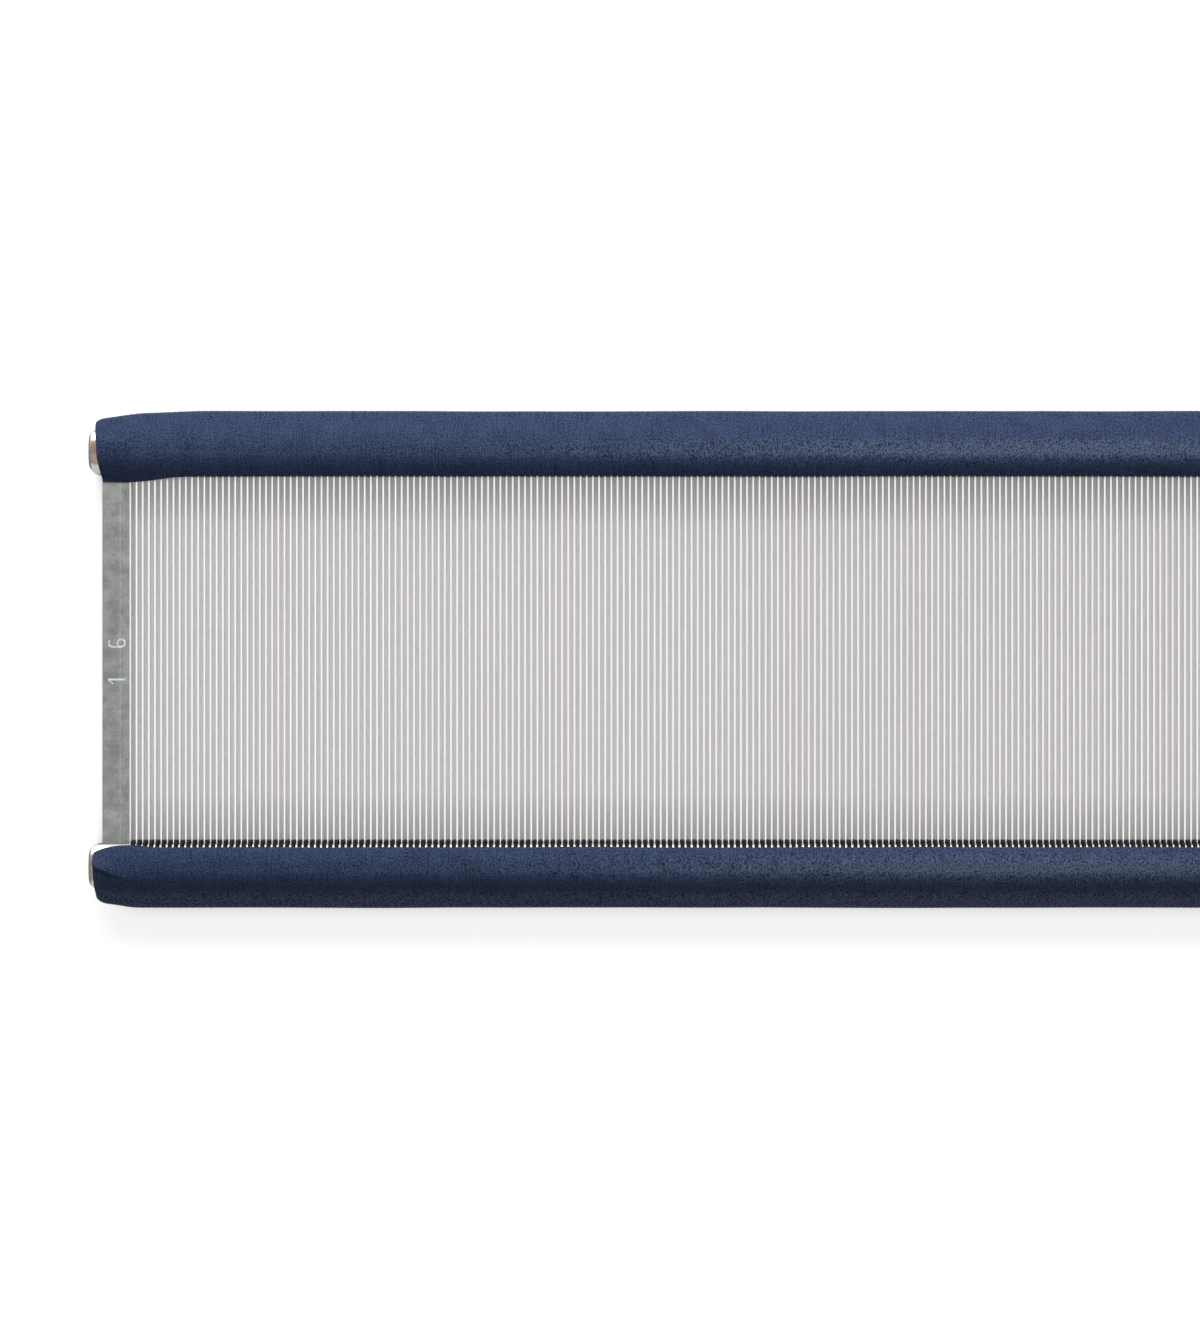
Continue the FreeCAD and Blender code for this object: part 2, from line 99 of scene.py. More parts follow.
def ranged(tree, value, low, high, to_low, to_high):
    """A value carried over from one range to another."""
    sockets = {"Value": value, "From Min": low, "From Max": high, "To Min": to_low,
               "To Max": to_high}
    return texture(tree, "MapRange", sockets).outputs["Result"]


def calculated(tree, operation, first, second=0.0):
    """The result of one sum or product."""
    return texture(tree, "Math", {0: first, 1: second}, operation=operation).outputs[0]


def mixed(tree, factor, first, second, blend_type="MIX"):
    """A colour between two, by a factor."""
    sockets = {0: factor, 6: first, 7: second}
    mix = texture(tree, "Mix", {}, data_type="RGBA", blend_type=blend_type)
    for index, value in sockets.items():
        if isinstance(value, bpy.types.NodeSocket):
            tree.links.new(value, mix.inputs[index])
        else:
            mix.inputs[index].default_value = value
    return mix.outputs[2]


def bumped(tree, shader, height, depth):
    """Relief of this depth in metres on the shader."""
    sockets = {"Height": height, "Distance": depth, "Strength": 1.0}
    normal = texture(tree, "Bump", sockets).outputs["Normal"]
    tree.links.new(normal, shader.inputs["Normal"])


def make_dent_steel():
    finish, tree, shader = new_finish("dent_steel")
    where = place(tree)
    apart = texture(tree, "SeparateXYZ", {0: where})
    number = calculated(tree, "DIVIDE", apart.outputs["X"], dent_pitch)
    number = calculated(tree, "FLOOR", number)
    own = texture(tree, "TexWhiteNoise", {"W": number}, noise_dimensions="1D").outputs["Value"]
    lines = noise(tree, where, (dent_line_width, dent_line_length, dent_line_width), 3.0)
    clouds = noise(tree, where, dent_cloud)
    shade = ranged(tree, own, 0, 1, *dent_shade_range)
    shade = calculated(tree, "MULTIPLY", shade, ranged(tree, lines, *noise_swing, *dent_line_shade))
    cloud_shade = ranged(tree, clouds, *noise_swing, *dent_cloud_shade)
    shade = calculated(tree, "MULTIPLY", shade, cloud_shade)
    grey = texture(tree, "CombineXYZ", {"X": shade, "Y": shade, "Z": shade}).outputs[0]
    tint = mixed(tree, own, dent_mauve_steel, dent_green_steel)
    colour = mixed(tree, 1.0, tint, grey, "MULTIPLY")
    tree.links.new(colour, shader.inputs["Base Color"])
    dullness = ranged(tree, lines, *noise_swing, *dent_roughness_range)
    tree.links.new(dullness, shader.inputs["Roughness"])
    shader.inputs["Metallic"].default_value = 1.0
    bumped(tree, shader, lines, dent_line_depth)
    return finish


dent_steel = make_dent_steel()
dents = [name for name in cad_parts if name.startswith("dents_inch_")]
for name in dents:
    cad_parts[name].material_slots[0].material = dent_steel

# End bars
# Flat bars of zinc plated steel that close the row. The plating has dulled to a mottled grey
# green. It is pale where the scribed line and the digits cut through it, partly bare steel and
# partly painted glints, and a painted highlight runs along the edge that faces the dents.
middle_height = sum(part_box("dents_inch_01")[i].z for i in (0, 1)) / 2
bar_sides = sorted(abs(corner.x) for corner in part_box("end_bar_left"))
bar_half_thickness = 0.0015
bar_cut_and_glint = (0.80, 0.82, 0.81, 1)
cut_start, cut_full = 0.00003, 0.00025
cut_glint_swing = (0.35, 0.6)
cut_least = 0.45
edge_glint_width = 0.0005
edge_glint_solid = 0.7
bar_light = (0.305, 0.315, 0.298, 1)
bar_dark = (0.205, 0.215, 0.205, 1)
bar_scratch = (0.55, 0.56, 0.54, 1)
bar_blotch = 0.0035
bar_grain = 0.0006
bar_scratch_length = 0.006
bar_scratch_width = 0.00012
bar_scratch_swing = (0.70, 0.78)
bar_scratch_strength = 0.5
bar_tone_swing = (0.34, 0.66)
bar_grain_tone = 0.22
bar_roughness_range = (0.38, 0.52)
bar_relief = 0.000012


def make_bar_steel():
    finish, tree, shader = new_finish("bar_steel")
    where = place(tree)
    blotches = noise(tree, where, (bar_blotch,) * 3, 4.0, 0.62)
    grain = noise(tree, where, (bar_grain,) * 3, 2.0)
    tone = ranged(tree, blotches, *bar_tone_swing, 0, 1)
    grain_tone = ranged(tree, grain, *noise_swing, -bar_grain_tone, bar_grain_tone)
    tone = calculated(tree, "ADD", tone, grain_tone)
    plating = mixed(tree, tone, bar_dark, bar_light)
    across = noise(tree, where, (bar_scratch_length, bar_scratch_width, bar_scratch_width), 1.0)
    along = noise(tree, where, (bar_scratch_width, bar_scratch_length, bar_scratch_width), 1.0)
    scratches = calculated(tree, "MAXIMUM", across, along)
    scratches = ranged(tree, scratches, *bar_scratch_swing, 0, bar_scratch_strength)
    plating = mixed(tree, scratches, plating, bar_scratch)
    apart = texture(tree, "SeparateXYZ", {0: where})
    depth = calculated(tree, "SUBTRACT", apart.outputs["Z"], middle_height)
    depth = calculated(tree, "SUBTRACT", bar_half_thickness, calculated(tree, "ABSOLUTE", depth))
    along = calculated(tree, "ABSOLUTE", apart.outputs["X"])
    inner, outer = bar_sides
    inside = ranged(tree, along, outer - edge_glint_width, outer - edge_glint_width / 2, 1, 0)
    # Pale in the scribed line and the digits: partly bare steel, partly painted glints broken up by
    # the grain
    cut = calculated(tree, "MULTIPLY", ranged(tree, depth, cut_start, cut_full, 0, 1), inside)
    cut = calculated(tree, "MULTIPLY", cut, ranged(tree, grain, *cut_glint_swing, cut_least, 1))
    # Painted highlight along the edge that faces the dents
    edge = ranged(tree, along, inner + edge_glint_width * edge_glint_solid, inner + edge_glint_width, 1, 0)
    cut = calculated(tree, "MAXIMUM", cut, edge)
    colour = mixed(tree, cut, plating, bar_cut_and_glint)
    tree.links.new(colour, shader.inputs["Base Color"])
    dullness = ranged(tree, blotches, *noise_swing, *bar_roughness_range)
    tree.links.new(dullness, shader.inputs["Roughness"])
    shader.inputs["Metallic"].default_value = 1.0
    bumped(tree, shader, calculated(tree, "ADD", grain, scratches), bar_relief)
    return finish


bar_steel = make_bar_steel()
for label in ("left", "right"):
    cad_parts["end_bar_" + label].material_slots[0].material = bar_steel

# Ribs
# Half round rods of bright drawn steel with random tarnish stains, one on each side of the dents'
# ends. Their bare ends stand out past the tape. Painted shade darkens their rims and low sides,
# and a brown painted reflection runs along the crown.
rib_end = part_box("rib_top_front")[1].x
rib_bright = (0.54, 0.53, 0.535, 1)
rib_tarnish = (0.40, 0.35, 0.31, 1)
rib_reflection_brown = (0.25, 0.180, 0.140, 1)
rib_reflection_light_brown = (0.36, 0.275, 0.225, 1)
reflection_start, reflection_full = 0.00370, 0.00410
rib_painted_shade = (0.20, 0.190, 0.197, 1)
rim_start, rim_full = 0.0008, 0.0005
side_full, side_start = 0.0016, 0.0028
rib_stain = 0.0022
rib_tarnish_swing = (0.52, 0.72)
rib_tarnish_strength = 0.6
rib_reflection_swing = (0.4, 0.6)
rib_mask_wobble = 0.0003
draw_length = 0.012
draw_width = 0.00009
rib_roughness_range = (0.12, 0.26)
rib_shade_roughness = 0.35
rib_relief = 0.000004


def make_rib_steel():
    finish, tree, shader = new_finish("rib_steel")
    where = place(tree)
    stains = noise(tree, where, (rib_stain,) * 3, 3.0, 0.6)
    drawn = noise(tree, where, (draw_length, draw_width, draw_width), 2.0)
    tarnish = ranged(tree, stains, *rib_tarnish_swing, 0, rib_tarnish_strength)
    steel = mixed(tree, tarnish, rib_bright, rib_tarnish)
    # Brown painted reflection on the high crown of each rib, its edge made uneven by the stains
    painted_reflection = mixed(tree, ranged(tree, stains, *rib_reflection_swing, 0, 1), rib_reflection_brown, rib_reflection_light_brown)
    apart = texture(tree, "SeparateXYZ", {0: where})
    height = calculated(tree, "SUBTRACT", apart.outputs["Z"], middle_height)
    height = calculated(tree, "ABSOLUTE", height)
    uneven = ranged(tree, stains, *noise_swing, -rib_mask_wobble, rib_mask_wobble)
    height = calculated(tree, "ADD", height, uneven)
    on_crown = ranged(tree, height, reflection_start, reflection_full, 0, 1)
    along = calculated(tree, "ABSOLUTE", apart.outputs["X"])
    # Painted shade on the rim of each end and on the low sides next to the dents, also made rougher
    on_rim = ranged(tree, along, rib_end - rim_start, rib_end - rim_full, 0, 1)
    on_side = ranged(tree, height, side_full, side_start, 1, 0)
    colour = mixed(tree, on_crown, steel, painted_reflection)
    painted_shade = calculated(tree, "MAXIMUM", on_rim, on_side)
    colour = mixed(tree, painted_shade, colour, rib_painted_shade)
    tree.links.new(colour, shader.inputs["Base Color"])
    dullness = ranged(tree, drawn, *noise_swing, *rib_roughness_range)
    shade_dullness = ranged(tree, painted_shade, 0, 1, 0, rib_shade_roughness)
    dullness = calculated(tree, "ADD", dullness, shade_dullness)
    tree.links.new(dullness, shader.inputs["Roughness"])
    shader.inputs["Metallic"].default_value = 1.0
    bumped(tree, shader, drawn, rib_relief)
    return finish


rib_steel = make_rib_steel()
for rail in ("top", "bottom"):
    for face in ("front", "back"):
        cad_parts[f"rib_{rail}_{face}"].material_slots[0].material = rib_steel

# Binding wires
# Steel wire dipped in tar, wound round both ribs of a rail with one turn in each gap
# between the dents. It spaces them, and it shows as a dark loop beside the tape's edge.
rail_offset = 0.0534
turn_count = 257
first_turn = -(turn_count - 1) / 2 * dent_pitch
wire_radius = 0.00052375
crown_middle = -0.0033043
shoulder_middle = (0.0053, 0.00186)
crown_to_shoulder = 0.0074
shoulder_lean = math.asin(shoulder_middle[0] / crown_to_shoulder)
wire_bend = 0.00118375
wire_crown = 0.00858375
wire_sides = 8
bend_points, front_points, back_points = 5, 9, 10
rib_half_width = 0.0059
pressed = {"top": 0.40, "bottom": 0.92}
tar_colour = (0.004, 0.0035, 0.003, 1)
tar_worn_colour = (0.011, 0.009, 0.008, 1)
tar_lump = 0.0005
tar_rub = (0.003, 0.002, 0.002)
tar_rub_swing = (0.5, 0.75)
tar_roughness_range = (0.4, 0.65)
tar_gloss = 0.12
tar_relief = 0.00003


def rounded(middle, radius, start, end, count):
    """Points of an arc in a rail's section, outward and up. Angles are from straight up."""
    angles = np.linspace(start, end, count)
    return np.stack([middle[0] + radius * np.sin(angles), middle[1] + radius * np.cos(angles)], 1)


def wire_turn_points():
    """One turn: along the reed, outward and up. It climbs outside the ribs, crosses the
    front, drops between two dents and crosses the back to the next gap. The number of
    its points that come before it leaves this gap goes with it."""
    out, up = shoulder_middle
    lean = shoulder_lean
    quarter = math.pi / 2
    across_back = lean - math.pi, -lean - math.pi
    outside = rounded((out, up), wire_bend, quarter, lean, bend_points)
    front = rounded((0, crown_middle), wire_crown, lean, -lean, front_points)[1:]
    inside = rounded((-out, up), wire_bend, -lean, -quarter, bend_points)[1:]
    level = np.concatenate([outside, front, inside, inside[-1:] * (1, 0)])
    under_in = rounded((-out, -up), wire_bend, -quarter, lean - math.pi, bend_points)
    back = rounded((0, -crown_middle), wire_crown, *across_back, back_points)[1:-1]
    under_out = rounded((out, -up), wire_bend, math.pi - lean, quarter, bend_points)
    section = np.concatenate([level, under_in, back, under_out])
    before, leaning = np.zeros(len(level) + bend_points), np.linspace(0, 1, back_points)[1:-1]
    step = np.concatenate([before, leaning, np.ones(bend_points)])
    return np.column_stack([step * dent_pitch, section]), len(level)


def smooth_mesh(name, points, faces, sharp_angle=math.radians(50)):
    """A smooth shaded object from its points and faces, sharp where it turns hard."""
    mesh = bpy.data.meshes.new(name)
    mesh.from_pydata(points, [], faces)
    mesh.update()
    mesh.shade_smooth()
    mesh.set_sharp_from_angle(angle=sharp_angle)
    made = bpy.data.objects.new(name, mesh)
    bpy.context.scene.collection.objects.link(made)
    return made


def grid_faces(rows, columns, start=0, closed=False):
    """Quads between the points of a grid that is stored row by row."""
    last = columns if closed else columns - 1
    row, column = np.meshgrid(np.arange(rows - 1), np.arange(last), indexing="ij")
    here = start + row * columns + column
    beside = start + row * columns + (column + 1) % columns
    return np.stack([here, beside, beside + columns, here + columns], -1).reshape(-1, 4)


def on_rail(along, outward, up, rail):
    """Points of a rail's section in the reed's frame."""
    side = 1 if rail == "top" else -1
    return np.stack([side * along, side * (rail_offset + outward), middle_height + up], -1)


def make_tar():
    finish, tree, shader = new_finish("tarred_wire")
    where = place(tree)
    lumps = noise(tree, where, (tar_lump,) * 3, 3.0)
    rubbing_and_sheen = noise(tree, where, tar_rub, 3.0, 0.6)
    wear_and_sheen = ranged(tree, rubbing_and_sheen, *tar_rub_swing, 0, 1)
    tree.links.new(mixed(tree, wear_and_sheen, tar_colour, tar_worn_colour), shader.inputs["Base Color"])
    dullness = ranged(tree, lumps, *noise_swing, *tar_roughness_range)
    tree.links.new(dullness, shader.inputs["Roughness"])
    shader.inputs["Specular IOR Level"].default_value = tar_gloss
    bumped(tree, shader, lumps, tar_relief)
    return finish


tarred_wire = make_tar()


def make_binding_wire(rail):
    turn, in_first_gap = wire_turn_points()
    starts = first_turn + dent_pitch * np.arange(turn_count)
    path = np.concatenate([turn + (start, 0, 0) for start in starts])
    path = path[: len(path) - len(turn) + in_first_gap]
    heading = np.gradient(path, axis=0)
    heading /= np.linalg.norm(heading, axis=1)[:, None]
    sideways = np.array([1.0, 0, 0]) - heading * heading[:, :1]
    sideways /= np.linalg.norm(sideways, axis=1)[:, None]
    outward = np.cross(heading, sideways)
    around = np.linspace(0, 2 * math.pi, wire_sides, endpoint=False)
    ring = sideways[:, None] * np.cos(around)[:, None] + outward[:, None] * np.sin(around)[:, None]
    points = (path[:, None] + wire_radius * ring).reshape(-1, 3)
    past_rib = np.minimum(points[:, 1] + rib_half_width, 0)
    points[:, 1] += past_rib * (pressed[rail] - 1)
    faces = grid_faces(len(path), wire_sides, closed=True).tolist()
    faces.append(list(range(wire_sides))[::-1])
    faces.append(list(range(len(points) - wire_sides, len(points))))
    placed = on_rail(points[:, 0], points[:, 1], points[:, 2], rail)
    wire = smooth_mesh("tarred_winding_" + rail, placed, faces)
    wire.data.materials.append(tarred_wire)
    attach(wire, "root")
    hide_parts("binding_wire_" + rail)
    return wire


for rail in ("top", "bottom"):
    make_binding_wire(rail)

# Edge tapes
# Navy book-cloth, cut in a strip as long as the reed, folded lengthwise round each rail and
# glued. It takes the print of the winding and puckers at its ends, where it comes down from the
# winding to the bare ribs. Painted sheen runs along its crown, and painted bounce light lightens
# the bottom tape's nose.
tape_thickness = 0.00035
tape_wound_radius = 0.0095375
tape_bare_radius = 0.00843
nose_radius = 0.0019
tape_half_length = 0.2132
columns_per_pitch = 6
print_depth = 0.00009
print_start, print_full = 0.008, 0.0105
lean_full_angle = 2.2
nose_print_spread = 0.6
lap_rows, slope_rows, nose_rows = 43, 6, 12
inner_stride = 3


def bell(value, middle, width):
    return np.exp(-(((value - middle) / width) ** 2))


def eased(value, start, end):
    """A smooth climb from 0 to 1 between two places."""
    share = np.clip((value - start) / (end - start), 0, 1)
    return share * share * (3 - 2 * share)


def wander(along, seed, wavelength, depth):
    """A slow uneven wave along the tape, as hand gluing leaves it."""
    shift = np.random.default_rng(seed).uniform(0, 2 * math.pi, 5)
    waves = [np.sin(2 * math.pi * along / (wavelength * k) + s)
             for k, s in zip((1.0, 0.618, 1.73, 0.382, 2.9), shift)]
    return depth * (waves[0] + 0.7 * waves[1] + waves[2] + 0.35 * waves[3] + waves[4]) / 4


def tape_columns():
    """Where the tape's rows of points stand along the reed: six to a turn of the wire."""
    step = dent_pitch / columns_per_pitch
    count = int(round(2 * tape_half_length / step))
    return np.linspace(-tape_half_length, tape_half_length, count + 1)


# How far in from the tape's length its cut end lies, by how far out of the rail's middle
end_cut = {
    "top": ((-0.0080, -0.0042, -0.0017, 0.0030, 0.0065, 0.0090),
            (0.0022, 0.0015, 0.0011, 0.0008, 0.0003, 0.0)),
    "bottom": ((-0.0053, -0.0039, -0.0020, 0.0053, 0.0080, 0.0093, 0.0100),
               (0.0006, 0.0002, 0.0, 0.0002, 0.0005, 0.0010, 0.0020)),
}

# The front lap's reach along the row, and what it gains or loses at its ends
top_lap, top_sag, top_sag_place, top_sag_fade = 0.0064, 0.0015, 0.017, 0.003
bottom_lap, bottom_draw, bottom_draw_fade = 0.0059, 0.0021, 0.0030
bottom_narrowing, narrowing_start, narrowing_end = 0.0006, 0.010, 0.016
back_lap, back_lap_gain, back_gain_start, back_gain_end = 0.0053, 0.0009, 0.004, 0.012


def front_lap(from_end, rail):
    """How far the lap reaches in from the rail's middle, on the front. The top tape sags
    over the end bar, and the bottom one is drawn up there and bares the rib."""
    if rail == "top":
        return top_lap + top_sag / (1 + np.exp((from_end - top_sag_place) / top_sag_fade))
    narrowing = bottom_narrowing * eased(from_end, narrowing_start, narrowing_end)
    return bottom_lap - bottom_draw * np.exp(-from_end / bottom_draw_fade) - narrowing


# The nose's middle at the tape's very end; its first step, and how soon that comes; its
# next climb, and where that ends; and its last climb
nose_climb = {
    "top": (0.0057, 0.0013, 0.0011, 0.0011, 0.0130, 0.0006),
    "bottom": (0.0066, 0.0013, 0.0009, 0.0009, 0.0110, 0.0),
}
next_climb_start = 0.0015
last_climb_start, last_climb_end = 0.008, 0.030


def nose_middle(from_end, rail):
    """How far out of the rail's middle the fold at the dents' ends is centred. It steps in
    where the winding ends, and again where nothing but the ribs is left."""
    at_end, first_step, step_fade, next_climb, next_climb_end, last_climb = nose_climb[rail]
    nose = at_end + first_step * (1 - np.exp(-from_end / step_fade))
    nose = nose + next_climb * eased(from_end, next_climb_start, next_climb_end)
    return nose + last_climb * eased(from_end, last_climb_start, last_climb_end)


# The crown's radius by the distance from the tape's end: it climbs from the bare ribs
# onto the winding
crown_climb = ((0, 0.003, 0.006, 0.0095, 0.012),
               (tape_bare_radius, 0.00855, 0.00895, 0.00949, tape_wound_radius))
crown_smoothing = 9
nose_spare = 0.00001
wander_seed = {"top": {"nose": 11, "front": 21, "back": 31, "flank": 41},
               "bottom": {"nose": 12, "front": 22, "back": 32, "flank": 42}}
wander_size = {"nose": (0.07, 0.00012), "front": (0.045, 0.00012), "back": (0.05, 0.0002),
               "flank": (0.06, 0.00007)}


def tape_section(along, rail):
    """Outward and up for each column and row of the outer face, with the angle of its
    normal from straight up."""
    from_end = tape_half_length - np.abs(along)
    seeds = wander_seed[rail]
    crown = np.interp(from_end, *crown_climb)
    nose = nose_middle(from_end, rail)[:, None]
    nose = nose + wander(along, seeds["nose"], *wander_size["nose"])[:, None]
    smooth = np.ones(crown_smoothing) / crown_smoothing
    crown = np.convolve(np.pad(crown, crown_smoothing // 2, "edge"), smooth, "valid")[:, None]
    clear_of_crown = np.sqrt((crown - nose_radius) ** 2 - crown_middle**2) + nose_spare
    nose = np.maximum(nose, clear_of_crown)
    flank = np.arctan2(nose, -crown_middle)
    flank = flank - np.arccos((crown - nose_radius) / np.hypot(nose, crown_middle))
    front = front_lap(from_end, rail) + wander(along, seeds["front"], *wander_size["front"])
    back = back_lap + back_lap_gain * eased(from_end, back_gain_start, back_gain_end)
    back = back + wander(along, seeds["back"], *wander_size["back"])
    front_edge = -np.arcsin(front / crown[:, 0])[:, None]
    back_edge = -np.arcsin(back / crown[:, 0])[:, None]
    lap = np.linspace(0, 1, lap_rows)
    slope = np.linspace(0, 1, slope_rows + 2)[1:-1]
    turn = np.linspace(0, 1, nose_rows)
    parts = []

    def arc(middle_out, middle_up, radius, start, end, share):
        angle = start + (end - start) * share
        parts.append((middle_out + radius * np.sin(angle), middle_up + radius * np.cos(angle),
                      angle + 0 * along[:, None]))

    def straight(angle, crown_up, share):
        crown_out = crown * np.sin(angle), crown_up + crown * np.cos(angle)
        nose_out = nose + nose_radius * np.sin(angle), nose_radius * np.cos(angle)
        parts.append((crown_out[0] + (nose_out[0] - crown_out[0]) * share,
                      crown_out[1] + (nose_out[1] - crown_out[1]) * share,
                      angle + 0 * share))

    arc(0, crown_middle, crown, front_edge, flank, lap)
    straight(flank, crown_middle, slope)
    arc(nose, 0, nose_radius, flank, math.pi - flank, turn)
    straight(math.pi - flank, -crown_middle, slope[::-1])
    arc(0, -crown_middle, crown, math.pi - flank, math.pi - back_edge, lap)
    return [np.concatenate(values, 1) for values in zip(*parts)]


def winding_print(along, outward, angle):
    """How far the cloth sinks between the turns under it. Behind the rail the turns lean
    from one gap to the next, and at the nose the dents' ends stand between them."""
    behind = eased(angle, math.pi / 2, lean_full_angle)
    lean = np.clip((outward / shoulder_middle[0] + 1) / 2, 0, 1) * behind
    phase = 2 * math.pi * ((along[:, None] - first_turn) / dent_pitch - lean)
    nose = bell(angle, math.pi / 2, nose_print_spread)
    wound = eased(tape_half_length - np.abs(along), print_start, print_full)[:, None]
    sink = (1 - np.cos(phase)) / 2 * (1 - nose) + 0.5 * (1 + np.cos(phase)) / 2 * nose
    return -print_depth * sink * wound


thread = 0.00040
cloth_dark = (0.007, 0.016, 0.052, 1)
cloth_light = (0.056, 0.088, 0.184, 1)
cloth_painted_sheen = (0.215, 0.26, 0.40, 1)
sheen_fleck_swing = (0.38, 0.63)
sheen_range = (0.04, 0.9)
cloth_roughness_range = (0.72, 0.5)
cloth_gloss = 0.09
cloth_sheen = 0.02
cloth_sheen_roughness = 0.5
cloth_relief = 0.00004
# The grains of the cloth, along and across it, and how much each changes the tone
streak, streak_tone, streak_relief = (0.00038, 0.005, 1), 0.55, 1.2
long_streak, long_streak_tone = (0.007, 0.0005, 1), 0.25
fleck, fleck_tone = (0.00036, 0.00048, 1), (-0.6, 0.80)
patch, patch_swing, patch_tone = (0.006, 0.006, 1), (0.35, 0.65), (-0.08, 0.12)


def make_cloth():
    finish, tree, shader = new_finish("tape_cloth")
    cloth = texture(tree, "Attribute", {}, attribute_name="cloth").outputs["Vector"]
    parts = texture(tree, "SeparateXYZ", {0: cloth})
    threads = [calculated(tree, "MULTIPLY", parts.outputs[axis], math.pi / thread) for axis in "XY"]
    warp, weft = (calculated(tree, "SINE", turns) for turns in threads)
    weave = calculated(tree, "ABSOLUTE", calculated(tree, "MULTIPLY", warp, weft))
    across = noise(tree, cloth, streak, 3.0, 0.6)
    lengthwise = noise(tree, cloth, long_streak, 3.0, 0.6)
    flecks = noise(tree, cloth, fleck, 3.0, 0.65)
    patches = noise(tree, cloth, patch, 3.0, 0.55)
    tone = calculated(tree, "ADD", ranged(tree, across, *noise_swing, 0, streak_tone),
                      ranged(tree, lengthwise, *noise_swing, 0, long_streak_tone))
    tone = calculated(tree, "ADD", tone, ranged(tree, flecks, *noise_swing, *fleck_tone))
    tone = calculated(tree, "ADD", tone, ranged(tree, patches, *patch_swing, *patch_tone))
    dyed = mixed(tree, tone, cloth_dark, cloth_light)
    # Paler painted sheen in flecks, as strong as the third value of 'cloth' says: crown and nose
    wear_and_sheen = ranged(tree, flecks, *sheen_fleck_swing, 0, 1)
    sheen_share = ranged(tree, parts.outputs["Z"], 0, 1, *sheen_range)
    colour = mixed(tree, calculated(tree, "MULTIPLY", wear_and_sheen, sheen_share), dyed, cloth_painted_sheen)
    tree.links.new(colour, shader.inputs["Base Color"])
    dullness = ranged(tree, flecks, *noise_swing, *cloth_roughness_range)
    tree.links.new(dullness, shader.inputs["Roughness"])
    shader.inputs["Specular IOR Level"].default_value = cloth_gloss
    shader.inputs["Sheen Weight"].default_value = cloth_sheen
    shader.inputs["Sheen Roughness"].default_value = cloth_sheen_roughness
    relief = calculated(tree, "ADD", weave, calculated(tree, "MULTIPLY", across, streak_relief))
    bumped(tree, shader, relief, cloth_relief)
    return finish


tape_cloth = make_cloth()

# The angles from straight up, in half turns, between which the front goes over to the back
front_end, back_start = 0.4, 0.55
flank_middle, flank_spread = 0.9, 0.5
# The crease of the bottom tape's left end: its place there, its slant, how far it runs,
# the height and width of the cloth's shoulder above it, and a low fold below it
crease_start, crease_slant = 0.0002, 0.34
crease_fade_start, crease_fade_end = 0.003, 0.0115
crease_height, crease_width, crease_edge = 0.00085, 0.0028, 0.0005
fold_height, fold_offset, fold_width = 0.00012, 0.0016, 0.001
# The low pucker of the top tape's left end
pucker_height, pucker_place, pucker_slant, pucker_width = 0.0002, 0.0035, 0.2, 0.0016
pucker_fade_start, pucker_fade_end = 0.002, 0.013
# Where the lap comes down on the end bar, and the room that is left under and over it
lap_flat_start, lap_flat_full = 0.0052, 0.0060
bar_room, face_room = 0.00004, 0.00002
cut_reach = 0.012
# The painted sheen along each crown: its half width, its least strength, the middle and spread of
# its strongest stretch; and the painted bounce light at the nose: its strength and where it lies
crown_sheen_width = {"top": 0.0025, "bottom": 0.0032}
least_sheen, sheen_middle, sheen_spread = 0.10, 0.03, 0.11
nose_painted_light = {"top": 0.05, "bottom": 0.85}
nose_light_start, nose_light_full, nose_light_least = 0.0050, 0.0085, 0.75


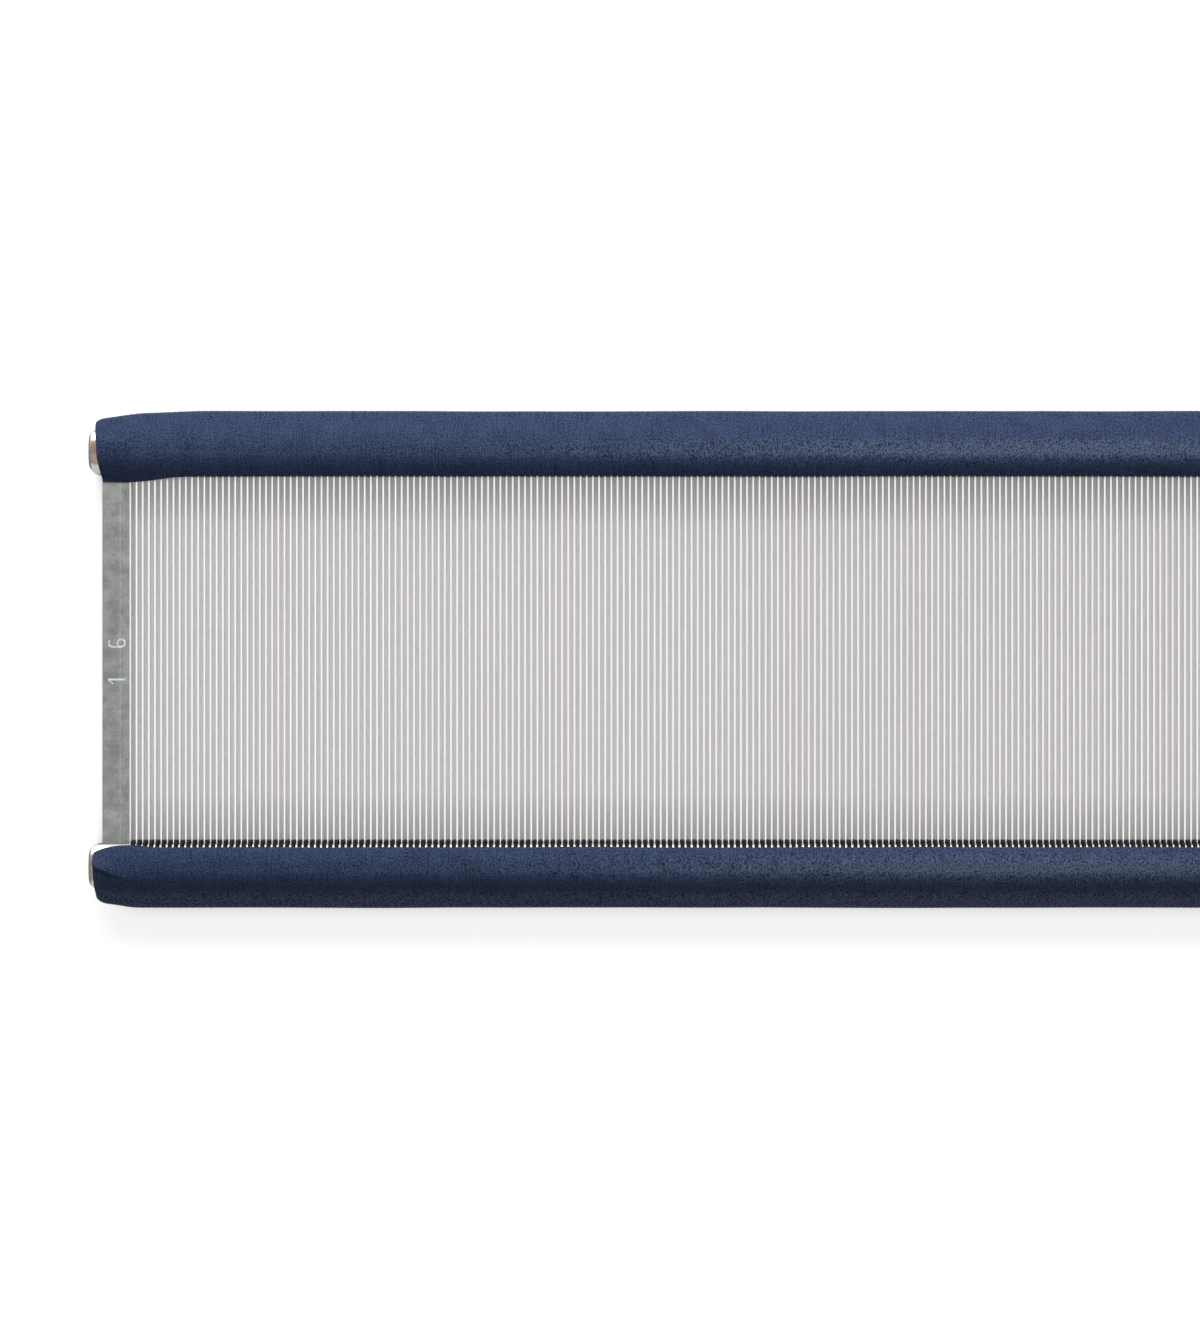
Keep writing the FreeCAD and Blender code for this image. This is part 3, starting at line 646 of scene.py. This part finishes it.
def make_edge_tape(rail):
    along = tape_columns()
    outward, up, angle = tape_section(along, rail)
    from_end = (tape_half_length - np.abs(along))[:, None]
    left_end = (tape_half_length + (along if rail == "top" else -along))[:, None]
    lift = winding_print(along, outward, angle)
    in_front = eased(angle, math.pi * back_start, math.pi * front_end)
    uneven = wander(along, wander_seed[rail]["flank"], *wander_size["flank"])[:, None]
    lift = lift + uneven * bell(angle, flank_middle, flank_spread)
    if rail == "bottom":
        crease = crease_start + crease_slant * left_end
        held = (1 - eased(left_end, crease_fade_start, crease_fade_end)) * in_front
        shoulder = crease_height * eased(-(outward - crease), 0, crease_edge)
        shoulder = shoulder * bell(outward, crease, crease_width)
        fold = fold_height * bell(outward, crease + fold_offset, fold_width)
        lift = lift + held * (shoulder + fold)
    else:
        held = (1 - eased(left_end, pucker_fade_start, pucker_fade_end)) * in_front
        pucker = pucker_place - pucker_slant * left_end
        lift = lift + held * pucker_height * bell(outward, pucker, pucker_width)
    outward = outward + lift * np.sin(angle)
    up = up + lift * np.cos(angle)
    bar_face = bar_half_thickness + tape_thickness + bar_room
    inner_side = eased(-outward, lap_flat_start, lap_flat_full) * in_front
    up = up + inner_side * np.maximum(bar_face - up, 0)
    half_height = middle_height - face_room
    up = np.clip(up, -half_height, half_height)

    shift = np.interp(outward, *end_cut[rail])
    reach = np.clip(1 - from_end / cut_reach, 0, 1)
    x = along[:, None] - np.sign(along)[:, None] * shift * reach

    rows = outward.shape[1]
    step = np.hypot(np.diff(outward, axis=1), np.diff(up, axis=1))
    middle = len(along) // 2
    across = np.concatenate([[0], np.cumsum(step[middle])])
    keep = np.unique(np.append(np.arange(0, rows, inner_stride), rows - 1))
    inner_out = (outward - tape_thickness * np.sin(angle))[:, keep]
    inner_up = (up - tape_thickness * np.cos(angle))[:, keep]
    outer_points = on_rail(x, outward, up, rail).reshape(-1, 3)
    inner_points = on_rail(x[:, keep], inner_out, inner_up, rail).reshape(-1, 3)
    start = len(outer_points)
    inner_rows = len(keep)
    faces = grid_faces(len(along), rows)[:, ::-1].tolist()
    faces += grid_faces(len(along), inner_rows, start).tolist()
    for row, inner_row in ((0, 0), (rows - 1, inner_rows - 1)):
        outer_edge = np.arange(len(along)) * rows + row
        inner_edge = start + np.arange(len(along)) * inner_rows + inner_row
        rim = np.stack([outer_edge[:-1], outer_edge[1:], inner_edge[1:], inner_edge[:-1]], 1)
        faces += (rim[:, ::-1] if row else rim).tolist()
    for column in (0, len(along) - 1):
        for index in range(inner_rows - 1):
            outer_edge = column * rows + np.arange(keep[index], keep[index + 1] + 1)
            inner_edge = start + column * inner_rows + np.array([index + 1, index])
            rim = np.concatenate([outer_edge, inner_edge]).tolist()
            faces.append(rim if column == 0 else rim[::-1])
    tape = smooth_mesh("book_cloth_" + rail, np.concatenate([outer_points, inner_points]), faces)
    side = 1 if rail == "top" else -1
    # Painted sheen along the crown, strongest a little right of the middle, kept in 'cloth'
    rubbing_and_sheen = (least_sheen + (1 - least_sheen) * bell(side * along, sheen_middle, sheen_spread))[:, None]
    # Painted bounce light on the nose, strong on the bottom tape and faint on the top one
    nose = eased(outward, nose_light_start, nose_light_full)
    nose = nose * (nose_light_least + (1 - nose_light_least) * rubbing_and_sheen)
    crown = bell(outward, 0, crown_sheen_width[rail]) * rubbing_and_sheen + nose_painted_light[rail] * nose
    lengthwise = np.broadcast_to(along[:, None], outward.shape)
    crosswise = np.broadcast_to(across, outward.shape)
    outer_cloth = np.stack([lengthwise, crosswise, crown], -1)
    inner_cloth = outer_cloth[:, keep]
    values = np.concatenate([outer_cloth.reshape(-1, 3), inner_cloth.reshape(-1, 3)])
    attribute = tape.data.attributes.new("cloth", "FLOAT_VECTOR", "POINT")
    attribute.data.foreach_set("vector", values.astype(np.float32).ravel())
    tape.data.materials.append(tape_cloth)
    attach(tape, "root")
    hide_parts("edge_tape_" + rail)
    return tape


for rail in ("top", "bottom"):
    make_edge_tape(rail)

# Table and light
# A plain white table in a white studio. One wide soft lamp stands past the top rail and lights
# the reed from that side. The table glows for camera and reflected rays, and ambient occlusion
# dims that glow into a painted shadow under and beside the reed.
table_colour = (0.54, 0.54, 0.54, 1)
table_size = 20.0
table_mottle = (0.4, 0.4, 0.4)
table_shade_range = (0.995, 1.0)
table_roughness = 0.9
table_gloss = 0.1
table_lift = 0.82
shadow_reach = 0.012
shadow_lift = 0.22
shadow_start, shadow_end = 0.35, 0.60
sky_light = 0.17
key_place = (-0.10, 0.80, 0.45)
key_power = 9.5
key_size = (1.2, 0.5)


def make_table():
    mesh = bpy.data.meshes.new("table")
    half = table_size / 2
    corners = [(-half, -half, 0), (half, -half, 0), (half, half, 0), (-half, half, 0)]
    mesh.from_pydata(corners, [], [(0, 1, 2, 3)])
    table = bpy.data.objects.new("table", mesh)
    bpy.context.scene.collection.objects.link(table)
    finish, tree, shader = new_finish("table_top")
    where = place(tree)
    shade = ranged(tree, noise(tree, where, table_mottle), *noise_swing, *table_shade_range)
    grey = texture(tree, "CombineXYZ", {"X": shade, "Y": shade, "Z": shade}).outputs[0]
    colour = mixed(tree, 1.0, table_colour, grey, "MULTIPLY")
    tree.links.new(colour, shader.inputs["Base Color"])
    shader.inputs["Roughness"].default_value = table_roughness
    shader.inputs["Specular IOR Level"].default_value = table_gloss
    glow = texture(tree, "Emission", {"Color": (1, 1, 1, 1), "Strength": table_lift})
    rays = texture(tree, "LightPath", {})
    seen = calculated(tree, "MAXIMUM", rays.outputs["Is Camera Ray"], rays.outputs["Is Glossy Ray"])
    seen = calculated(tree, "MAXIMUM", seen, rays.outputs["Is Transmission Ray"])
    # Painted shadow: the glow is dimmed where ambient occlusion finds the reed close by
    near = texture(tree, "AmbientOcclusion", {"Distance": shadow_reach}, samples=8)
    low = shadow_lift * table_lift
    lift = ranged(tree, near.outputs["AO"], shadow_start, shadow_end, low, table_lift)
    tree.links.new(calculated(tree, "MULTIPLY", seen, lift), glow.inputs["Strength"])
    both = texture(tree, "AddShader", {0: shader.outputs[0], 1: glow.outputs[0]})
    tree.links.new(both.outputs[0], tree.nodes["Material Output"].inputs["Surface"])
    mesh.materials.append(finish)


def add_lamp(name, where, aim, size, power):
    lamp = bpy.data.lights.new(name, "AREA")
    lamp.shape = "RECTANGLE"
    lamp.size, lamp.size_y = size
    lamp.energy = power
    made = bpy.data.objects.new(name, lamp)
    made.location = where
    direction = Vector(aim) - Vector(where)
    made.rotation_euler = direction.to_track_quat("-Z", "Y").to_euler()
    made.visible_camera = False
    bpy.context.scene.collection.objects.link(made)


def make_sky():
    world = bpy.data.worlds.new("sky")
    world.use_nodes = True
    tree = world.node_tree
    light = tree.nodes["Background"]
    light.inputs["Color"].default_value = (1, 1, 1, 1)
    rays = texture(tree, "LightPath", {})
    seen = calculated(tree, "MAXIMUM", rays.outputs["Is Camera Ray"], rays.outputs["Is Glossy Ray"])
    seen = calculated(tree, "MAXIMUM", seen, rays.outputs["Is Transmission Ray"])
    tree.links.new(ranged(tree, seen, 0, 1, sky_light, 1.0), light.inputs["Strength"])
    bpy.context.scene.world = world


make_table()
make_sky()
add_lamp("key_lamp", key_place, (-0.08, 0, 0), key_size, key_power)

# Camera
# Straight above the reed, a little right of its left end, as a catalogue picture is taken.
camera_distance = 0.80
seen_height = 0.3404
seen_middle = (-0.0831, -0.0002)
sensor_height = 36.0

view = bpy.data.cameras.new("camera")
view.sensor_width = sensor_height
view.lens = sensor_height * (camera_distance - middle_height) / seen_height
camera = bpy.data.objects.new("camera", view)
camera.location = (*seen_middle, camera_distance)
bpy.context.scene.collection.objects.link(camera)
bpy.context.scene.camera = camera
bpy.context.scene.view_settings.view_transform = "Standard"
